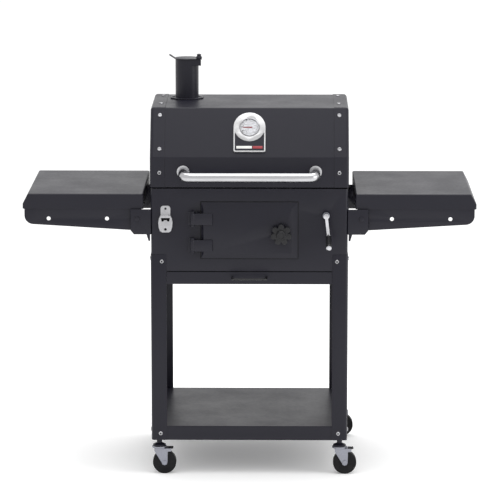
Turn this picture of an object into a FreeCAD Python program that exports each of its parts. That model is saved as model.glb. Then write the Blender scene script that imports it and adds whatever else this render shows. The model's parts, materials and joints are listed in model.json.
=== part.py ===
import FreeCAD, Part
import math
import os
import re
import Sketcher

# Lidded charcoal grill on a four-legged cart. Millimetres, +Z up, front face towards -Y.
# The origin is on the floor, under the middle of the whole object.

doc = FreeCAD.newDocument("GrillCart")
dims = doc.addObject("Spreadsheet::Sheet", "dims")

SIZES = {
    # cabinet
    "front": -210, "depth": 520, "half_width": 300, "sheet": 1.5,
    "foot": 108, "leg_top": 687, "leg_flange": 48, "leg_round": 10, "foot_round": 8,
    "shelf_top": 152, "sill": 636, "body_top": 890, "shell_half": 298.5, "wrap": 30, "shell_round": 9.5,
    "screw_radius": 6.3, "screw_height": 3,
    # charcoal door
    "door_half": 146.5, "door_low": 676, "door_high": 849, "door_proud": 17, "door_bevel": 18,
    "door_bevel_left": 8, "door_rim": 1, "door_wall": 2.5,
    "door_gap": 1, "opening_half": 125, "opening_low": 696, "opening_high": 829,
    "hinge_x": -172, "hinge_out": 16, "strap_low": 700.5, "strap_high": 782, "strap_tall": 35,
    "strap_end": -112, "hinge_pin": 3, "barrel": 6.5, "running": 0.05,
    "knob_x": 96.4, "knob_z": 756.5, "knob_reach": 32, "latch_reach": 44,
    # ash drawer
    "drawer_low": 596, "drawer_high": 634, "drawer_half": 251, "pan_half": 245, "pan_depth": 480,
    "rail_half": 249, "pan_floor": 600, "pan_rim": 630,
    "pull_half": 52, "pull_out": 33, "pull_wire": 3, "pull_z": 617.5,
    # charcoal tray and its lift
    "tray_left": -280, "tray_right": 205, "tray_front": 32, "tray_back": 488,
    "tray_floor": 690, "tray_rim": 730,
    "crank_x": 232.7, "crank_z": 808.8, "crank_shaft": 5, "gear_module": 1.5, "gear_teeth": 18,
    "gear_width": 12, "rack_first": 60, "rack_second": 440, "rack_low": 752, "rack_high": 817,
    "crank_arm_side": 7, "crank_arm_drop": 61.5, "grip_radius": 9, "grip_length": 66, "grip_droop": 18,
    # cooking grates
    "grate_z": 871, "grate_thick": 10, "ledge_half": 268,
    # lid
    "lid_low": 894, "lid_crease": 985.5, "lid_high": 1126, "lid_half": 301, "cap_flange": 44,
    "lid_lean": 90, "lid_top_rear": 400, "lid_rear": 490, "lid_round": 10, "lid_bend": 6.5,
    "lid_end": 290, "inset_crease": 0.44, "inset_lean": 0.82, "inset_top_rear": 1.03, "inset_rear": 1.61,
    "lean_across": 0.5394, "lean_up": 0.842,
    "lid_hinge_y": 508, "lid_hinge_z": 899, "lid_hinge_x": 190, "lid_pin": 4,
    "grab_half": 200, "grab_out": 60, "grab_radius": 14, "grab_z": 942, "grab_droop": 8,
    # thermometer
    "badge_half": 48.4, "dial_radius": 30, "dial_along": 99, "badge_drop": 82, "badge_thick": 5,
    # chimney
    "chimney_x": -197, "chimney_y": 315, "chimney_radius": 36, "chimney_top": 1247,
    "flange_reach": 51, "flange_thick": 4, "pivot_x": 38, "pivot_y": -27, "cap_radius": 40,
    # side tables
    "table_inner": 321.5, "table_flat": 672, "table_outer": 688, "table_top": 872, "table_slope": 31,
    "table_apron": 46, "table_front": 10, "table_depth": 455, "table_pivot_x": 340, "table_pivot_z": 797,
    "arm_thick": 2, "arm_end": 36, "arm_inner_low": 759, "arm_outer_low": 780, "arm_round": 27,
    "tool_hole": 6, "hole_near": 432, "hole_far": 609, "hole_z": 796,
    "bracket_reach": 360, "bracket_low": 749, "bracket_high": 826, "table_pin": 5,
    # casters
    "stem_x": 277, "stem_y": 240, "wheel_radius": 36, "wheel_half": 11.5, "trail": 16,
    "axle": 4, "fork_inner": 14.5, "fork_wall": 2.5, "kingpin": 5, "brake_x": 32,
}

FORWARD = FreeCAD.Rotation(FreeCAD.Vector(1, 0, 0), 90)      # local Z points to -Y
BACKWARD = FreeCAD.Rotation(FreeCAD.Vector(1, 0, 0), -90)    # local Z points to +Y
RIGHTWARD = FreeCAD.Rotation(FreeCAD.Vector(0, 1, 0), 90)    # local Z points to +X
LEFTWARD = FreeCAD.Rotation(FreeCAD.Vector(0, 1, 0), -90)    # local Z points to -X
UPRIGHT = FreeCAD.Rotation()
pieces = []


def fill_sheet():
    for row, (name, size) in enumerate(SIZES.items(), start=1):
        dims.set("A%d" % row, name)
        dims.set("B%d" % row, str(size))
        dims.setAlias("B%d" % row, name)
    doc.recompute()


def cells(text):
    """Turn the plain names in an expression into cell references."""
    return re.sub(r"\b([a-z]+(?:_[a-z]+)*)\b", r"dims.\1", str(text))


def size(text):
    return float(dims.evalExpression(cells(text)))


def bind(thing, prop, text):
    thing.setExpression(prop, cells(text))


def keep(thing, label):
    thing.Label = label
    pieces.append(thing)
    return thing


def put(thing, place, rotation=UPRIGHT):
    thing.Placement.Rotation = rotation
    for axis, text in zip("xyz", place):
        bind(thing, "Placement.Base." + axis, text)
    return thing


def box(corner, extent):
    solid = doc.addObject("Part::Box", "Block")
    for prop, text in zip(("Length", "Width", "Height"), extent):
        bind(solid, prop, text)
    return put(solid, corner)


def rod(start, rotation, radius, length):
    solid = doc.addObject("Part::Cylinder", "Rod")
    bind(solid, "Radius", radius)
    bind(solid, "Height", length)
    return put(solid, start, rotation)


def fused(*solids):
    joined = doc.addObject("Part::MultiFuse", "Fused")
    joined.Shapes = list(solids)
    joined.Refine = True
    return joined


def cut(base, *tools):
    result = doc.addObject("Part::Cut", "Trimmed")
    result.Base = base
    result.Tool = tools[0] if len(tools) == 1 else fused(*tools)
    return result


def group(*solids):
    """Separate solids that share one node."""
    joined = doc.addObject("Part::Compound", "Group")
    joined.Links = list(solids)
    return joined


def sketch_on(body, plane, level):
    """A sketch on one of the body's own planes, moved to the level along that plane's axis."""
    sketch = body.newObject("Sketcher::SketchObject", "Outline")
    support = [face for face in body.Origin.OriginFeatures if face.Role == plane + "_Plane"]
    sketch.AttachmentSupport = [(support[0], "")]
    sketch.MapMode = "FlatFace"
    sign = "-" if plane == "XZ" else ""
    bind(sketch, ".AttachmentOffset.Base.z", "%s(%s)" % (sign, level))
    return sketch


def outline(sketch, corners):
    """Closed polygon whose corners are bound to the sheet."""
    first = sketch.GeometryCount
    points = [FreeCAD.Vector(size(across), size(up), 0) for across, up in corners]
    count = len(points)
    for place in range(count):
        sketch.addGeometry(Part.LineSegment(points[place], points[(place + 1) % count]), False)
    for place, corner in enumerate(corners):
        line = first + place
        after = first + (place + 1) % count
        sketch.addConstraint(Sketcher.Constraint("Coincident", line, 2, after, 1))
        for kind, text in zip(("DistanceX", "DistanceY"), corner):
            number = sketch.addConstraint(Sketcher.Constraint(kind, -1, 1, line, 1, size(text)))
            bind(sketch, "Constraints[%d]" % number, text)


def round_hole(sketch, across, up, radius):
    centre = FreeCAD.Vector(size(across), size(up), 0)
    circle = sketch.addGeometry(Part.Circle(centre, FreeCAD.Vector(0, 0, 1), size(radius)), False)
    for kind, text in zip(("DistanceX", "DistanceY"), (across, up)):
        number = sketch.addConstraint(Sketcher.Constraint(kind, -1, 1, circle, 3, size(text)))
        bind(sketch, "Constraints[%d]" % number, text)
    number = sketch.addConstraint(Sketcher.Constraint("Radius", circle, size(radius)))
    bind(sketch, "Constraints[%d]" % number, radius)


def prism(plane, start, length, corners, holes=(), windows=()):
    """Pad of one outline from start along the plane's positive axis."""
    body = doc.addObject("PartDesign::Body", "Prism")
    sketch = sketch_on(body, plane, start)
    outline(sketch, corners)
    for window in windows:
        outline(sketch, window)
    for hole in holes:
        round_hole(sketch, *hole)
    pad = body.newObject("PartDesign::Pad", "Pad")
    pad.Profile = sketch
    bind(pad, "Length", length)
    pad.Reversed = plane == "XZ"
    doc.recompute()
    return body


def rounded(body, radius, wanted):
    """Fillet every edge of the body's tip that the test picks."""
    base = body.Tip
    names = ["Edge%d" % (place + 1) for place, edge in enumerate(base.Shape.Edges) if wanted(edge)]
    fillet = body.newObject("PartDesign::Fillet", "Fillet")
    fillet.Base = (base, names)
    bind(fillet, "Radius", radius)
    doc.recompute()
    return body


def hollowed(body, wall, opened):
    """Leave a wall inside the tip and open the faces that the test picks."""
    base = body.Tip
    names = ["Face%d" % (place + 1) for place, face in enumerate(base.Shape.Faces) if opened(face)]
    shell = body.newObject("PartDesign::Thickness", "Shell")
    shell.Base = (base, names)
    bind(shell, "Value", wall)
    shell.Reversed = True
    shell.Join = 0
    doc.recompute()
    return body


def turned(profile, place, rotation=UPRIGHT):
    """Revolve a (radius, height) outline about the body's own Z and set it in place."""
    body = doc.addObject("PartDesign::Body", "Turned")
    sketch = sketch_on(body, "XZ", "0")
    outline(sketch, profile)
    spin = body.newObject("PartDesign::Revolution", "Revolution")
    spin.Profile = sketch
    spin.ReferenceAxis = (sketch, ["V_Axis"])
    spin.Angle = 360
    put(body, place, rotation)
    doc.recompute()
    return body


def lofted(body, plane, sections, cutting=False):
    """Loft between two outlines at two levels, added to or taken from the body."""
    sketches = []
    for level, corners in sections:
        sketch = sketch_on(body, plane, level)
        outline(sketch, corners)
        sketches.append(sketch)
    kind = "PartDesign::SubtractiveLoft" if cutting else "PartDesign::AdditiveLoft"
    loft = body.newObject(kind, "Loft")
    loft.Profile = sketches[0]
    loft.Sections = sketches[1:]
    doc.recompute()
    return body


def rectangle(left, low, right, high):
    return [(left, low), (right, low), (right, high), (left, high)]


def at_point(edge, axis, first, second, slack=0.01):
    """True for a straight edge along the axis that passes through the two other coordinates."""
    start, end = edge.Vertexes[0].Point, edge.Vertexes[-1].Point
    others = [place for place in range(3) if place != "XYZ".index(axis)]
    wanted = (first, second)
    return all(
        abs(point[place] - goal) < slack for point in (start, end) for place, goal in zip(others, wanted)
    )


def bent_tube(points, radius, bend):
    """Round bar along straight runs joined by tangent arcs."""
    edges = []
    last = points[0]
    for before, corner, after in zip(points, points[1:], points[2:]):
        back = (before - corner).normalize()
        ahead = (after - corner).normalize()
        half = back.getAngle(ahead) / 2
        reach = bend / math.tan(half)
        middle = (back + ahead).normalize() * (bend / math.sin(half) - bend)
        start, end = corner + back * reach, corner + ahead * reach
        edges.append(Part.makeLine(last, start))
        edges.append(Part.Arc(start, corner + middle, end).toShape())
        last = end
    edges.append(Part.makeLine(last, points[-1]))
    path = Part.Wire(edges)
    ring = Part.Wire(Part.makeCircle(radius, points[0], points[1] - points[0]))
    tube = doc.addObject("Part::Feature", "Tube")
    tube.Shape = path.makePipeShell([ring], True, True)
    return tube


def vector(*texts):
    return FreeCAD.Vector(*[size(text) for text in texts])


def side_sign(side):
    return "-1" if side == "left" else "1"


def make_leg(side, end):
    across = side_sign(side)
    along = "1" if end == "front" else "-1"
    outer_x = across + "*half_width"
    outer_y = "front" if end == "front" else "front + depth"
    edge_x = "%s*(half_width - leg_flange)" % across
    edge_y = "%s + %s*leg_flange" % (outer_y, along)
    inner_x = "%s*(half_width - sheet)" % across
    inner_y = "%s + %s*sheet" % (outer_y, along)
    angle = [(outer_x, outer_y), (edge_x, outer_y), (edge_x, inner_y),
             (inner_x, inner_y), (inner_x, edge_y), (outer_x, edge_y)]
    leg = prism("XY", "foot", "leg_top - foot", angle)
    rounded(leg, "leg_round", lambda edge: at_point(edge, "Z", size(outer_x), size(outer_y)))
    rounded(leg, "leg_round - sheet", lambda edge: at_point(edge, "Z", size(inner_x), size(inner_y)))
    rounded(leg, "foot_round", lambda edge: at_point(edge, "Y", size(edge_x), size("foot"))
            or at_point(edge, "X", size(edge_y), size("foot")))
    keep(leg, "%s_%s_leg" % (end, side))


def make_bottom_shelf():
    shelf = prism("XY", "foot", "shelf_top - foot", rectangle(
        "-shell_half", "front + sheet", "shell_half", "front + depth - sheet"))
    rounded(shelf, "shell_round", lambda edge: abs(edge.BoundBox.ZLength - size("shelf_top - foot")) < 0.01)
    rounded(shelf, "2", lambda edge: edge.BoundBox.ZMin > size("shelf_top") - 0.01)
    hollowed(shelf, "sheet", lambda face: face.BoundBox.ZMax < size("foot") + 0.01)
    keep(shelf, "bottom_shelf")


def wrapped_panel(level, inward, low, high):
    """Flat panel across the cabinet with both ends bent back round the corners."""
    inner = "%s + %s*sheet" % (level, inward)
    end = "%s + %s*wrap" % (level, inward)
    panel = prism("XY", low, "%s - %s" % (high, low), [
        ("-shell_half", level), ("shell_half", level), ("shell_half", end), ("shell_half - sheet", end),
        ("shell_half - sheet", inner), ("sheet - shell_half", inner), ("sheet - shell_half", end),
        ("-shell_half", end)])
    half, wall = size("shell_half"), size("sheet")
    rounded(panel, "shell_round", lambda edge: at_point(edge, "Z", half, size(level))
            or at_point(edge, "Z", -half, size(level)))
    rounded(panel, "shell_round - sheet", lambda edge: at_point(edge, "Z", half - wall, size(inner))
            or at_point(edge, "Z", wall - half, size(inner)))
    return panel


def make_cabinet_panels():
    front = wrapped_panel("(front + sheet)", "1", "sill", "body_top")
    doorway = box(("-opening_half", "front", "opening_low"),
                  ("2*opening_half", "4*sheet", "opening_high - opening_low"))
    crank_hole = rod(("crank_x", "front", "crank_z"), BACKWARD, "crank_shaft + 1.5", "4*sheet")
    keep(cut(front, doorway, crank_hole), "front_panel")
    keep(wrapped_panel("(front + depth - sheet)", "-1", "drawer_low", "body_top"), "back_panel")
    for side, left in (("left", "-shell_half"), ("right", "shell_half - sheet")):
        panel = box((left, "front + sheet + wrap", "drawer_low"),
                    ("sheet", "depth - 2*sheet - 2*wrap", "body_top - drawer_low"))
        keep(panel, side + "_panel")


def make_drawer_rails():
    """Folded rails that carry the ash pan and close the gap beside it."""
    rails = []
    for across in ("-1", "1"):
        start, length = "front + sheet + wrap", "depth - 2*sheet - 2*wrap"
        wall_x, rail_x = "%s*(shell_half - sheet)" % across, "%s*rail_half" % across
        lip_x, face_x = "%s*(rail_half - 16)" % across, "%s*(rail_half + sheet)" % across
        section = [(wall_x, "drawer_high + 2"), (rail_x, "drawer_high + 2"), (rail_x, "pan_floor - 2"),
                   (lip_x, "pan_floor - 2"), (lip_x, "pan_floor - 2 - sheet"),
                   (face_x, "pan_floor - 2 - sheet"),
                   (face_x, "drawer_high + 2 - sheet"), (wall_x, "drawer_high + 2 - sheet")]
        rails.append(prism("XZ", start, length, section))
    keep(group(*rails), "drawer_rails")


def make_cooking_grates():
    ledges, grates = [], []
    for across in ("-1", "1"):
        ledges.append(prism("XZ", "front + sheet + wrap", "depth - 2*sheet - 2*wrap", [
            ("%s*(shell_half - sheet)" % across, "grate_z"), ("%s*ledge_half" % across, "grate_z"),
            ("%s*ledge_half" % across, "grate_z - sheet"),
            ("%s*(shell_half - 2*sheet)" % across, "grate_z - sheet"),
            ("%s*(shell_half - 2*sheet)" % across, "grate_z - 20"),
            ("%s*(shell_half - sheet)" % across, "grate_z - 20")]))
        slots = []
        for number in range(12):
            near = "%s*(%d + 12)" % (across, 23 * number)
            far = "%s*(%d + 26)" % (across, 23 * number)
            slots.append(rectangle(near, "front + 30", far, "front + depth/2 - 8"))
            slots.append(rectangle(near, "front + depth/2 + 8", far, "front + depth - 30"))
        grates.append(prism("XY", "grate_z", "grate_thick", rectangle(
            "%s*1.5" % across, "front + 12", "%s*292" % across, "front + depth - 12"), windows=slots))
    keep(group(*ledges), "grate_ledges")
    keep(group(*grates), "cooking_grates")


def screw_head(place, rotation):
    radius, height = "screw_radius", "screw_height"
    return turned([("0", "0"), (radius, "0"), (radius, height + "/2"), (radius + "*0.8", height),
                   (radius + "*0.45", height), (radius + "*0.4", height + "*0.45"),
                   ("0", height + "*0.45")], place, rotation)


def make_frame_screws():
    heads = []
    for across, outward in (("-1", LEFTWARD), ("1", RIGHTWARD)):
        for level, inset in (("leg_top - 21", "34"), ("foot + 21", "28")):
            x = "%s*(half_width - %s)" % (across, inset)
            heads.append(screw_head((x, "front", level), FORWARD))
            heads.append(screw_head((x, "front + depth", level), BACKWARD))
        for level in ("leg_top - 15", "foot + 29"):
            for y in ("front + 26", "front + depth - 26"):
                heads.append(screw_head((across + "*half_width", y, level), outward))
    keep(group(*heads), "frame_screws")


def make_ash_drawer():
    pan = prism("XY", "pan_floor", "pan_rim - pan_floor", rectangle(
        "-pan_half", "front + 2", "pan_half", "front + 2 + pan_depth"))
    hollowed(pan, "sheet", lambda face: face.BoundBox.ZMin > size("pan_rim") - 0.01)
    keep(pan, "ash_pan")
    plate = prism("XZ", "front", "2", rectangle("-drawer_half", "drawer_low", "drawer_half", "drawer_high"))
    rounded(plate, "1.2", lambda edge: edge.BoundBox.YMax < size("front") + 0.01)
    keep(plate, "drawer_front")
    out = vector("0", "-pull_out", "0")
    left, right = vector("-pull_half", "front", "pull_z"), vector("pull_half", "front", "pull_z")
    keep(bent_tube([left, left + out, right + out, right], size("pull_wire"), 9), "drawer_handle")


def make_charcoal_door():
    door = prism("XZ", "front - sheet", "sheet + sheet - door_gap", rectangle(
        "-door_half", "door_low", "door_half", "door_high"))
    outer = rectangle("door_rim - door_half", "door_low + door_rim", "door_half - door_rim",
                      "door_high - door_rim")
    plateau = rectangle("door_bevel_left - door_half", "door_low + door_bevel", "door_half - door_bevel",
                        "door_high - door_bevel")
    lofted(door, "XZ", [("front - sheet", outer), ("front - door_proud", plateau)])
    doc.recompute()
    inner = rectangle("door_rim + door_wall - door_half", "door_low + door_rim + door_wall",
                      "door_half - door_rim - door_wall", "door_high - door_rim - door_wall")
    recess = rectangle("door_bevel_left + door_wall - door_half", "door_low + door_bevel + door_wall",
                       "door_half - door_bevel - door_wall", "door_high - door_bevel - door_wall")
    lofted(door, "XZ", [("front + sheet", inner), ("front - door_proud + sheet", recess)], cutting=True)
    bore = rod(("knob_x", "front - door_proud - 1", "knob_z"), BACKWARD, "crank_shaft + running", "8")
    keep(cut(door, bore), "charcoal_door")


def make_door_hinges():
    straps, brackets = [], []
    for low in ("strap_low", "strap_high"):
        axis_y = "front - hinge_out"
        barrel = rod(("hinge_x", axis_y, low), UPRIGHT, "barrel", "strap_tall")
        strap = box(("hinge_x", "front - door_proud - 2.6", low),
                    ("strap_end - hinge_x", "2.4", "strap_tall"))
        bore = rod(("hinge_x", axis_y, low + " - 1"), UPRIGHT, "hinge_pin + running", "strap_tall + 2")
        straps.append(cut(fused(barrel, strap), bore))
        pin = rod(("hinge_x", axis_y, low + " - 4"), UPRIGHT, "hinge_pin", "strap_tall + 8")
        ears = []
        for level in (low + " - 3", low + " + strap_tall + 0.5"):
            ears.append(box(("hinge_x - barrel", axis_y, level), ("2*barrel", "hinge_out + sheet", "2.5")))
            ears.append(rod(("hinge_x", axis_y, level), UPRIGHT, "barrel", "2.5"))
        caps = [rod(("hinge_x", axis_y, level), UPRIGHT, "5.5", "3") for level in (
            low + " - 6", low + " + strap_tall + 3")]
        foot = box(("hinge_x - 14", "front + sheet - 2", low + " - 3"), ("28", "2", "strap_tall + 6"))
        brackets.append(fused(pin, foot, *ears, *caps))
    keep(group(*straps), "door_straps")
    keep(group(*brackets), "door_hinge_brackets")


def make_door_knob():
    """Seven-lobed hand knob, its spindle and the latch cam behind the door."""
    face_y = "front - door_proud"
    lobes = []
    for number in range(7):
        turn = 2 * math.pi * number / 7 + math.pi / 2
        offset = size("knob_reach") - 8.8
        x = "knob_x + %.3f" % (offset * math.cos(turn))
        z = "knob_z + %.3f" % (offset * math.sin(turn))
        lobes.append(rod((x, face_y + " - 30", z), BACKWARD, "8.8", "20"))
    core = rod(("knob_x", face_y + " - 30", "knob_z"), BACKWARD, "22", "20")
    hub = turned([("0", "0"), ("15.5", "0"), ("14.5", "13"), ("12.5", "16"), ("9.5", "16"), ("8.5", "14"),
                  ("0", "14")], ("knob_x", face_y + " - 30", "knob_z"), FORWARD)
    neck = rod(("knob_x", face_y + " - 10", "knob_z"), BACKWARD, "11", "9.5")
    keep(fused(core, hub, neck, *lobes), "door_knob")
    spindle = rod(("knob_x", face_y + " - 0.5", "knob_z"), BACKWARD, "crank_shaft", "door_proud + 9")
    cam = box(("knob_x - 7", "front + 5", "knob_z - latch_reach"), ("14", "3", "latch_reach + 8"))
    keep(fused(spindle, cam), "door_latch")


def make_bottle_opener():
    """Cast opener: an oval hood with a toothed mouth below a screw tab."""
    x, low, neck, high = "(-254)", "757", "810", "838"
    half = [("10.5", low), ("17", "761.5"), ("21", "774"), ("22", "788"), ("20", "800"), ("15", neck)]
    oval = [(x + " - " + reach, z) for reach, z in half]
    oval += [(x + " + " + reach, z) for reach, z in reversed(half)]
    tab_plate = prism("XZ", "front + sheet - 3", "3", rectangle(
        x + " - 15", neck + " - 2", x + " + 15", high), holes=[(x, "829", "2.6")])
    rounded(tab_plate, "9", lambda edge: any(
        at_point(edge, "Y", size(x) + offset, size(high)) for offset in (-15, 15)))
    hood = prism("XZ", "front + sheet - 13", "13", oval, holes=[(x, "767", "2.6")])
    rounded(hood, "2.5", lambda edge: edge.BoundBox.YMax < size("front + sheet - 13") + 0.01
            and edge.BoundBox.XLength + edge.BoundBox.ZLength > 5.3)
    mouth = prism("XZ", "front + sheet - 14", "11", [
        (x + " - 14", "802"), (x + " - 11", "791"), (x + " - 7", "791"), (x + " - 4", "795"),
        (x + " + 4", "795"), (x + " + 7", "791"), (x + " + 11", "791"), (x + " + 14", "802")])
    pocket = box((x + " - 14", "front + sheet - 9.5", "778"), ("28", "6.5", "24"))
    keep(fused(tab_plate, cut(hood, mouth, pocket)), "bottle_opener")


def tooth_outline(module, teeth, slack):
    """Half outline of one involute tooth: (radius, half angle) from root to tip."""
    pressure = math.radians(20)
    pitch_radius = module * teeth / 2
    base_radius = pitch_radius * math.cos(pressure)
    half = math.pi / (2 * teeth) - slack / pitch_radius + math.tan(pressure) - pressure
    flank = [(pitch_radius - 1.25 * module, half)]
    for part in (0.02, 0.35, 0.7, 1.0):
        radius = base_radius + (pitch_radius + module - base_radius) * part
        roll = math.acos(base_radius / radius)
        flank.append((radius, half - (math.tan(roll) - roll)))
    return flank


def make_pinion(start):
    teeth = int(size("gear_teeth"))
    flank = tooth_outline(size("gear_module"), teeth, 0.06)
    centre = vector("crank_x", start, "crank_z")
    points = []
    for number in range(teeth):
        middle = 2 * math.pi * number / teeth
        sides = [(radius, middle - half) for radius, half in flank]
        sides += [(radius, middle + half) for radius, half in reversed(flank)]
        points += [centre + FreeCAD.Vector(r * math.cos(a), 0, r * math.sin(a)) for r, a in sides]
    pinion = doc.addObject("Part::Feature", "Pinion")
    face = Part.Face(Part.makePolygon(points + points[:1]))
    pinion.Shape = face.extrude(FreeCAD.Vector(0, size("gear_width"), 0))
    return pinion


def make_rack(start):
    module = size("gear_module")
    pitch = math.pi * module
    line = size("crank_x - gear_module*gear_teeth/2")
    root, tip = line - 1.25 * module, line + module
    slope = math.tan(math.radians(20))
    half = pitch / 4 - 0.08
    points = [vector("tray_right", start, "rack_low"), FreeCAD.Vector(root, size(start), size("rack_low"))]
    count = int((size("rack_high") - size("rack_low")) / pitch)
    above = math.floor((size("rack_high") - size("crank_z")) / pitch - 1)
    for number in range(above - count + 1, above + 1):
        middle = size("crank_z") + (number + 0.5) * pitch
        for x, reach in ((root, half + 1.25 * module * slope), (tip, half - module * slope)):
            points.append(FreeCAD.Vector(x, size(start), middle - reach))
        for x, reach in ((tip, half - module * slope), (root, half + 1.25 * module * slope)):
            points.append(FreeCAD.Vector(x, size(start), middle + reach))
    points += [FreeCAD.Vector(root, size(start), size("rack_high")), vector("tray_right", start, "rack_high")]
    rack = doc.addObject("Part::Feature", "Rack")
    face = Part.Face(Part.makePolygon(points + points[:1]))
    rack.Shape = face.extrude(FreeCAD.Vector(0, size("gear_width"), 0))
    return rack


def make_charcoal_tray():
    tray = prism("XY", "tray_floor", "tray_rim - tray_floor", rectangle(
        "tray_left", "front + tray_front", "tray_right", "front + tray_back"))
    hollowed(tray, "sheet", lambda face: face.BoundBox.ZMin > size("tray_rim") - 0.01)
    slots = [box(("tray_left + %d" % (30 + 42 * number), "front + tray_front + 40", "tray_floor - 1"),
                 ("16", "tray_back - tray_front - 80", "4")) for number in range(11)]
    posts = []
    for start in ("front + rack_first", "front + rack_second"):
        posts.append(box(("tray_right", start, "tray_floor"), ("12", "gear_width", "rack_low - tray_floor")))
        posts.append(make_rack(start))
    tabs = [box(("tray_left - 12", y, "tray_floor"), ("12", "8", "tray_rim - tray_floor")) for y in (
        "front + 120", "front + 400")]
    keep(fused(cut(tray, *slots), *posts, *tabs), "charcoal_tray")


def make_tray_guides():
    guides = []
    for y in ("front + 120", "front + 400"):
        cheeks = [box(("1.5 - shell_half", level, "tray_floor - 10"), ("16", "3", "110")) for level in (
            y + " - 4", y + " + 9")]
        guides += cheeks
    keep(group(*guides), "tray_guides")


def make_crank():
    end_y = "front - 12"
    shaft = rod(("crank_x", end_y, "crank_z"), BACKWARD, "crank_shaft", "depth + 5")
    pinions = [make_pinion("front + rack_first"), make_pinion("front + rack_second")]
    keep(fused(shaft, *pinions), "crank_shaft")
    bearings = []
    for start, length in (("front - 8", "8 + sheet"), ("front + depth - 21", "18")):
        ring = rod(("crank_x", start, "crank_z"), BACKWARD, "10.5", length)
        bore = rod(("crank_x", start + " - 1", "crank_z"), BACKWARD, "crank_shaft + running", length + " + 2")
        bearings.append(cut(ring, bore))
    keep(group(*bearings), "crank_bearings")
    hub = rod(("crank_x", "front - 22", "crank_z"), BACKWARD, "8.5", "10")
    far_x, far_z = "crank_x + crank_arm_side", "crank_z - crank_arm_drop"
    link = prism("XZ", "front - 21", "6", [
        ("crank_x - 4.5", "crank_z"), ("crank_x + 4.5", "crank_z"), (far_x + " + 4.5", far_z),
        (far_x + " - 4.5", far_z)])
    eye = rod((far_x, "front - 21", far_z), BACKWARD, "6.5", "6")
    droop = FreeCAD.Rotation(FreeCAD.Vector(1, 0, 0), 90 + size("grip_droop"))
    pin = turned([("0", "-2"), ("3", "-2"), ("3", "grip_length + 6"), ("8", "grip_length + 6"),
                  ("8", "grip_length + 9"), ("5", "grip_length + 11"), ("0", "grip_length + 11")],
                 (far_x, "front - 20", far_z), droop)
    keep(fused(hub, link, eye, pin), "crank_arm")
    grip = turned([("3 + running", "5"), ("7", "5"), ("grip_radius", "9"), ("grip_radius", "grip_length - 2"),
                   ("7.5", "grip_length + 5.5"), ("3 + running", "grip_length + 5.5")],
                  (far_x, "front - 20", far_z), droop)
    keep(grip, "crank_grip")


def lid_outline(layer):
    """Side view of the lid, each layer one sheet further in."""
    return [
        ("front + %d*sheet" % layer, "lid_low"),
        ("front + %d*sheet" % layer, "lid_crease - %d*inset_crease" % layer),
        ("front + lid_lean + %d*inset_lean" % layer, "lid_high - %d*sheet" % layer),
        ("front + lid_top_rear - %d*inset_top_rear" % layer, "lid_high - %d*sheet" % layer),
        ("front + lid_rear - %d*inset_rear" % layer, "lid_low"),
    ]


def bends(outline_corners):
    """Test for the three folded edges of a lid outline."""
    folds = [(size(y), size(z)) for y, z in outline_corners[1:4]]
    return lambda edge: any(at_point(edge, "X", y, z) for y, z in folds)


def lean_turn():
    rise, run = size("lid_high - lid_crease"), size("lid_lean")
    return FreeCAD.Rotation(FreeCAD.Vector(1, 0, 0), math.degrees(math.atan2(rise, run)))


def on_lean(thing, along, lift="0"):
    """Set a thing on the leaning panel: its Y runs up the panel, its Z points out of it."""
    place = ("0",
             "front + sheet + (%s)*lean_across - (%s)*lean_up" % (along, lift),
             "lid_crease - inset_crease + (%s)*lean_up + (%s)*lean_across" % (along, lift))
    return put(thing, place, lean_turn())


def make_lid_shell():
    outer, inner = lid_outline(1), lid_outline(2)
    shell = prism("YZ", "-lid_end", "2*lid_end", outer + inner[::-1])
    rounded(shell, "lid_bend - sheet", bends(outer))
    rounded(shell, "lid_bend - 2*sheet", bends(inner))
    flue = rod(("chimney_x", "front + chimney_y", "lid_high - 6"), UPRIGHT, "chimney_radius - 3", "12")
    probe = on_lean(rod(("0", "0", "0"), UPRIGHT, "5.5", "12"), "dial_along", "-6")
    keep(cut(shell, flue, probe), "lid_shell")


def lid_end_block(side, layer):
    """Solid end of the lid, each layer one sheet smaller on every closed side."""
    corners = lid_outline(layer)
    inner, outer = "lid_half - cap_flange - %d" % layer, "lid_half - %d*sheet" % layer
    start = "-(%s)" % outer if side == "left" else inner
    block = prism("YZ", start, "(%s) - (%s)" % (outer, inner), corners)
    rounded(block, "lid_bend - %d*sheet" % layer, bends(corners))
    outside = size("%s*(%s)" % (side_sign(side), outer))
    return rounded(block, "lid_round - %d*sheet" % layer, lambda edge: (
        edge.BoundBox.ZMax > size("lid_low") + 0.1
        and abs(edge.BoundBox.XMin - outside) + edge.BoundBox.XLength < 0.01))


def make_lid_end(side):
    keep(cut(lid_end_block(side, 0), lid_end_block(side, 1)), "lid_%s_end" % side)


def make_lid_screws():
    heads = []
    for across in ("-1", "1"):
        x = "%s*(lid_half - 29)" % across
        heads.append(screw_head((x, "front", "938.5"), FORWARD))
        for along in ("27.5", "140"):
            head = on_lean(screw_head(("0", "0", "0"), UPRIGHT), along, "sheet + 0.02")
            bind(head, "Placement.Base.x", x)
            heads.append(head)
        for y in ("front + 172", "front + 353"):
            heads.append(screw_head((x, y, "lid_high"), UPRIGHT))
    for x in ("chimney_x - flange_reach + 9", "chimney_x + flange_reach - 9"):
        heads.append(rod((x, "front + chimney_y", "lid_high - sheet + flange_thick"), UPRIGHT, "4", "2.5"))
    keep(group(*heads), "lid_screws")


def make_lid_handle():
    tilt = math.radians(size("grab_droop"))
    reach = size("grab_out")
    out = FreeCAD.Vector(0, -reach * math.cos(tilt), -reach * math.sin(tilt))
    left = vector("-grab_half", "front - 0.5", "grab_z")
    right = vector("grab_half", "front - 0.5", "grab_z")
    tube = bent_tube([left, left + out, right + out, right], size("grab_radius"), 24)
    roses = [rod((x, "front + sheet - 4", "grab_z"), BACKWARD, "grab_radius + 5", "4") for x in (
        "-grab_half", "grab_half")]
    keep(fused(tube, *roses), "lid_handle")


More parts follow.
